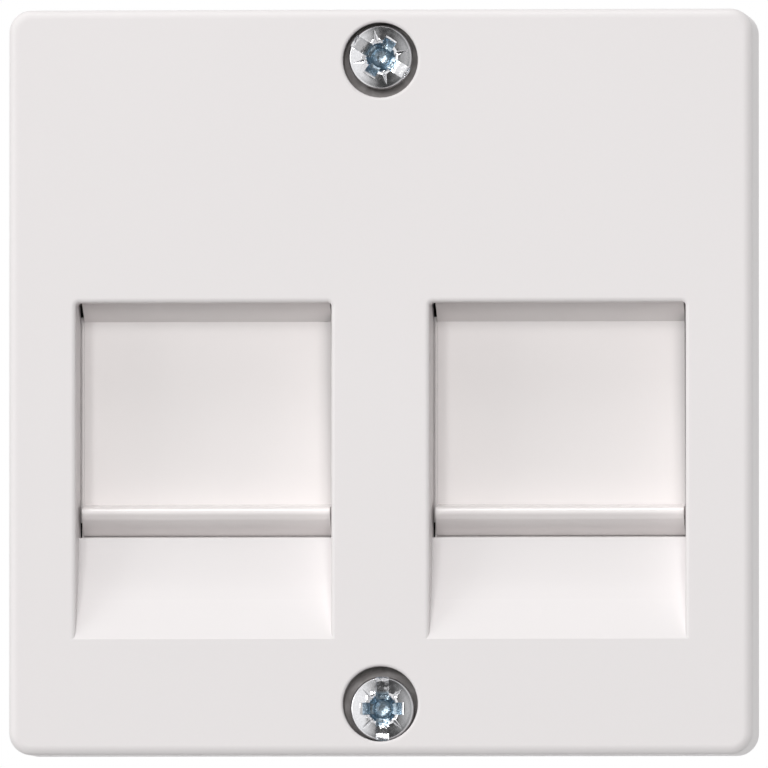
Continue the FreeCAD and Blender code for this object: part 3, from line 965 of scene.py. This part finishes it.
@dataclass
class Shutter:
    """A sliding shutter: panel, finger ridge, upper bar with a bevel under it, and side wings."""

    side: Side
    material: bpy.types.Material
    ridge_width: float = 16.7 * MM
    panel_width: float = 17.0 * MM
    panel_y: float = -3.1 * MM
    wing_y: float = -2.8 * MM
    panel_thickness: float = 1.2 * MM
    ridge_foot: float = 1.40 * MM
    ridge_height: float = 2.1 * MM
    ridge_lean: float = 0.24 * MM
    ridge_shoulder: float = 0.4 * MM
    shoulder_slope: float = 28.0
    ridge_flat: float = 0.4 * MM
    ridge_tuck: float = 0.34 * MM
    ridge_top_round: float = 0.16 * MM
    ridge_front_round: float = 0.2 * MM
    ridge_under_round: float = 0.1 * MM
    ridge_foot_stand: float = 0.35 * MM
    round_segments: int = 8
    bar_height: float = 1.8 * MM
    bevel_slope: float = 60.0
    wing_foot: float = 2.30 * MM
    wing_reach: float = 0.33 * MM
    edge_break: float = 0.05 * MM

    def build(self) -> None:
        """Build the shutter where its CAD node stands."""
        node = f"{self.side.value}_shutter"
        low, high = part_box(node)
        centre = (low.x + high.x) / 2
        crest, back = low.y, high.y
        foot = low.z + self.ridge_foot
        top = foot + self.ridge_height
        shoulder = top - self.ridge_lean
        flat_top = shoulder - self.ridge_shoulder
        flat_foot = flat_top - self.ridge_flat
        set_back = self.ridge_shoulder * math.tan(math.radians(self.shoulder_slope))
        slope = math.radians(self.bevel_slope)
        bevel_top = high.z - self.bar_height
        bevel_foot = bevel_top - (self.panel_y - crest) / math.tan(slope)
        rise = self.panel_thickness / math.sin(slope) - self.panel_thickness / math.tan(slope)
        corners = [(crest, high.z), (crest, bevel_top), (self.panel_y, bevel_foot), (self.panel_y, top),
                   (crest + set_back, shoulder), (crest, flat_top), (crest + self.ridge_tuck, flat_foot),
                   (self.panel_y - self.ridge_foot_stand, foot),
                   (self.panel_y, foot), (self.panel_y, low.z), (back, low.z), (back, bevel_foot + rise),
                   (crest + self.panel_thickness, bevel_top + rise), (crest + self.panel_thickness, high.z)]
        left = centre - self.ridge_width / 2
        points = [Vector((left, y, z)) for y, z in corners]
        body = Workpiece.pressed(f"{self.side.value}_sliding_shutter", points,
                                 Vector((self.ridge_width, 0, 0)))
        for height, width in ((shoulder, self.ridge_top_round), (flat_top, self.ridge_front_round),
                              (flat_foot, self.ridge_under_round)):
            body.round_edges(height, width, self.round_segments)
        half = self.panel_width / 2
        panel = Workpiece.block("panel", (centre - half, self.panel_y, low.z),
                                (centre + half, back, bevel_foot))
        body.join(panel, Joining.WELD)
        wings = Workpiece.block("wings", (low.x, self.wing_y, low.z + self.wing_foot),
                                (high.x, back, bevel_foot + self.wing_reach))
        body.join(wings, Joining.WELD)
        body.soften(self.edge_break)
        body.hand_over(f"{node}_body", "white_shutter_plastic", self.material, node)


# ---- cover and carrier


@dataclass
class FrontCover:
    """The moulded cover, which keeps its CAD mesh."""

    material: bpy.types.Material

    def build(self) -> None:
        """Dress the CAD node."""
        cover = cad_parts["front_cover"]
        for slot in cover.material_slots:
            slot.material = self.material
        LOG.info("front_cover: %d faces", len(cover.data.polygons))


@dataclass
class PortCarrier:
    """The rear moulding with the two ports, its edges broken and its ejector pins' marks left in."""

    material: bpy.types.Material
    edge_break: float = 0.08 * MM
    edge_angle: float = 40.0
    pin_radius: float = 1.25 * MM
    pin_steps: int = 40
    pin_depth: float = 0.12 * MM
    rear_face: float = -0.6 * MM
    pin_places: tuple[tuple[float, float], ...] = (
        (-20.6, 20.6), (20.6, 20.6), (-20.9, -20.6), (20.9, -20.6), (0.0, 12.6), (0.0, -2.6), (0.0, -15.4))

    def build(self) -> None:
        """Build the carrier where its CAD node stands."""
        carrier = Workpiece.from_node("port_carrier", "keystone_carrier")
        carrier.soften(self.edge_break, self.edge_angle)
        outline = upright([(0, 0), (self.pin_radius, 0), (self.pin_radius, MM), (0, MM)])
        for x, z in self.pin_places:
            pin = Workpiece.turned("pin_tool", outline, self.pin_steps)
            pin.move((0, 0, 0), -90, "X")
            pin.move((x * MM, self.rear_face - self.pin_depth, z * MM))
            carrier.join(pin, Joining.CUT)
        carrier.hand_over("cover", "dark_plastic", self.material, "keystone_carrier")


# ---- studio


@dataclass(frozen=True)
class SoftBox:
    """One soft lamp: where it hangs, how wide it is and how strong."""

    name: str
    azimuth: float
    elevation: float
    size: float
    watts: float
    distance: float = 1.2
    shine: bool = True


@dataclass
class Studio:
    """Floor, soft lamps, white surroundings and the camera."""

    azimuth: float = 4.1
    elevation: float = -1.66
    distance: float = 2.0
    frame_width: float = 51.5 * MM
    aim: Span = (0.26 * MM, -0.15 * MM)
    sensor: float = 36.0
    floor_size: float = 3.0
    floor_tone: float = 0.9
    floor_dullness: float = 0.9
    floor_fade: Span = (0.05, 0.35)
    left_light: float = 0.42
    right_light: float = 0.08
    side_range: Span = (-0.5, 0.4)
    low_light: float = 0.6
    low_range: Span = (-0.7, 0.0)
    low_reach: float = 0.25
    back_light: float = 0.95
    back_range: Span = (-0.45, 0.35)
    front_gloss: float = 0.06
    left_gloss: float = 1.0
    right_gloss: float = 0.58
    front_cone: Span = (0.08, 0.42)
    rear_range: Span = (-0.42, -0.2)
    floor_gloss: float = 0.25
    floor_behind: Span = (0.1, 0.4)
    floor_below: Span = (-0.8, -0.2)
    lamps: tuple[SoftBox, ...] = (
        SoftBox("front_softbox", 5, 13, 0.5, 7.7, shine=False),
        SoftBox("side_softbox", -60, 8, 0.5, 2.3),
        SoftBox("small_softbox", -12, 10, 0.12, 1.5),
        SoftBox("top_softbox", -30, 70, 0.5, 1.9),
        SoftBox("ridge_softbox", -4, 58, 0.3, 1.3),
    )

    def put_up(self, thing: bpy.types.ID, around: Span, distance: float, aim: Vector) -> bpy.types.Object:
        """Put up a lamp or a camera that faces a point.

        Args:
            thing: the lamp or the camera.
            around: degrees round the point from its front towards its right, and degrees above it.
            distance: metres from the point.
            aim: the point.

        Returns:
            The new object.
        """
        a, e = (math.radians(angle) for angle in around)
        back = Vector((math.sin(a) * math.cos(e), -math.cos(a) * math.cos(e), math.sin(e)))
        stand = bpy.data.objects.new(thing.name, thing)
        stand.location = aim + back * distance
        stand.rotation_euler = (-back).to_track_quat("-Z", "Y").to_euler()
        bpy.context.scene.collection.objects.link(stand)
        return stand

    def build_camera(self) -> None:
        """Set a long lens on the front of the plate."""
        camera = bpy.data.cameras.new("camera")
        camera.sensor_width = self.sensor
        camera.lens = self.sensor * self.distance / self.frame_width
        aim = Vector((self.aim[0], CAD_BOX[0].y, self.aim[1]))
        stand = self.put_up(camera, (self.azimuth, self.elevation), self.distance, aim)
        bpy.context.scene.camera = stand

    def build_lamp(self, box: SoftBox) -> None:
        """Hang one soft box that faces the object.

        Args:
            box: the soft box.
        """
        lamp = bpy.data.lights.new(box.name, "AREA")
        lamp.shape = "SQUARE"
        lamp.size = box.size
        lamp.energy = box.watts
        stand = self.put_up(lamp, (box.azimuth, box.elevation), box.distance, Vector())
        stand.visible_camera = False
        stand.visible_glossy = box.shine

    def build_world(self) -> None:
        """Surround the object with white, of which gloss sees little in front, and with a low even light.

        A direction's three shares, from -1 to 1, tell how far it goes to the object's right, rear and top.
        """
        world = bpy.data.worlds.new("studio")
        world.use_nodes = True
        board = NodeBoard(world.node_tree)
        world.node_tree.nodes.clear()
        rays = board.add("ShaderNodeLightPath").outputs
        way = board.add("ShaderNodeTexCoord").outputs["Generated"]
        across, along, up = board.add("ShaderNodeSeparateXYZ", {"Vector": way}).outputs
        inner, outer = self.front_cone
        left = board.ramp(across, -outer, -inner, self.left_gloss, self.front_gloss)
        right = board.ramp(across, inner, outer, self.front_gloss, self.right_gloss)
        rear = board.ramp(along, *self.rear_range, self.front_gloss, 1.0)
        gloss = board.math("MAXIMUM", board.math("MAXIMUM", left, right), rear)
        depth = board.math("MULTIPLY", board.ramp(along, *self.floor_behind, 0.0, 1.0),
                           board.ramp(up, *self.floor_below, 1.0, 0.0))
        gloss = board.math("MULTIPLY", gloss, board.ramp(depth, 0.0, 1.0, 1.0, self.floor_gloss))
        front = board.ramp(across, *self.side_range, self.left_light, self.right_light)
        front = board.math("MULTIPLY", front, board.ramp(up, *self.low_range, self.low_light, 1.0))
        behind = board.math("SUBTRACT", along, board.math("MULTIPLY", up, self.low_reach))
        light = board.ramp(behind, *self.back_range, front, self.back_light)
        light = board.math("MULTIPLY", light, board.math("SUBTRACT", 1.0, rays["Is Glossy Ray"]))
        white = board.math("MAXIMUM", rays["Is Camera Ray"], rays["Is Transmission Ray"])
        shine = board.math("MULTIPLY", rays["Is Glossy Ray"], gloss)
        level = board.math("MAXIMUM", board.math("MAXIMUM", white, shine), light)
        back = board.add("ShaderNodeBackground", {"Color": (1, 1, 1, 1), "Strength": level})
        board.add("ShaderNodeOutputWorld", {"Surface": back.outputs[0]})
        bpy.context.scene.world = world

    def build_floor(self) -> None:
        """Lay a pale floor that is clear from underneath and lost in white further out."""
        bpy.ops.object.select_all(action="DESELECT")
        bpy.ops.mesh.primitive_plane_add(size=self.floor_size, location=(0, 0, CAD_BOX[0].z))
        floor = bpy.context.active_object
        floor.name = "floor"
        material, board, shader = start_material("floor_paper")
        tone = self.floor_tone
        board.feed_all(shader, {"Base Color": (tone, tone, tone, 1.0), "Roughness": self.floor_dullness})
        clear = board.add("ShaderNodeBsdfTransparent")
        backfacing = board.add("ShaderNodeNewGeometry").outputs["Backfacing"]
        seen = board.add("ShaderNodeLightPath").outputs["Is Camera Ray"]
        place = board.add("ShaderNodeTexCoord").outputs["Object"]
        reach = board.add("ShaderNodeVectorMath", {"Vector": place}, operation="LENGTH").outputs["Value"]
        fade = board.math("MULTIPLY", board.ramp(reach, *self.floor_fade, 0.0, 1.0), seen)
        mix = board.add("ShaderNodeMixShader")
        board.feed(mix.inputs[0], board.math("MAXIMUM", backfacing, fade))
        board.feed(mix.inputs[1], shader.outputs[0])
        board.feed(mix.inputs[2], clear.outputs[0])
        board.feed(material.node_tree.nodes["Material Output"].inputs[0], mix.outputs[0])
        floor.data.materials.append(material)
        floor.visible_diffuse = False
        floor.visible_glossy = False

    def build(self) -> None:
        """Set up the whole studio."""
        bpy.context.scene.view_settings.view_transform = "Standard"
        self.build_world()
        self.build_floor()
        for box in self.lamps:
            self.build_lamp(box)
        self.build_camera()


def main() -> None:
    """Build everything in order."""
    logging.basicConfig(level=logging.INFO, format="%(name)s %(message)s")
    Studio().build()
    FrontCover(CoverFinish("plate_plastic", colour=(0.80, 0.770, 0.769), gloss=0.45).material()).build()
    white = PlasticFinish("shutter_plastic", colour=(0.82, 0.782, 0.774), gloss=0.24, shine=1.0).material()
    for side in Side:
        Shutter(side, white).build()
    dark = PlasticFinish("carrier_plastic", colour=(0.035, 0.035, 0.037), gloss=0.55, gloss_spread=0.12,
                         drift=0.3, speckle=0.4, ripple=0.2, grain=1.0, relief=0.012 * MM)
    PortCarrier(dark.material()).build()
    FixingScrew(ZincFinish("zinc").material()).build()
    nylon = PlasticFinish("nylon", colour=(0.74, 0.71, 0.61), gloss=0.42, gloss_spread=0.1, drift=0.05,
                          speckle=0.05, ripple=0.5, grain=0.4, relief=0.006 * MM, glow=0.3)
    CaptiveWasher(nylon.material()).build()


if __name__ == "__main__":
    main()
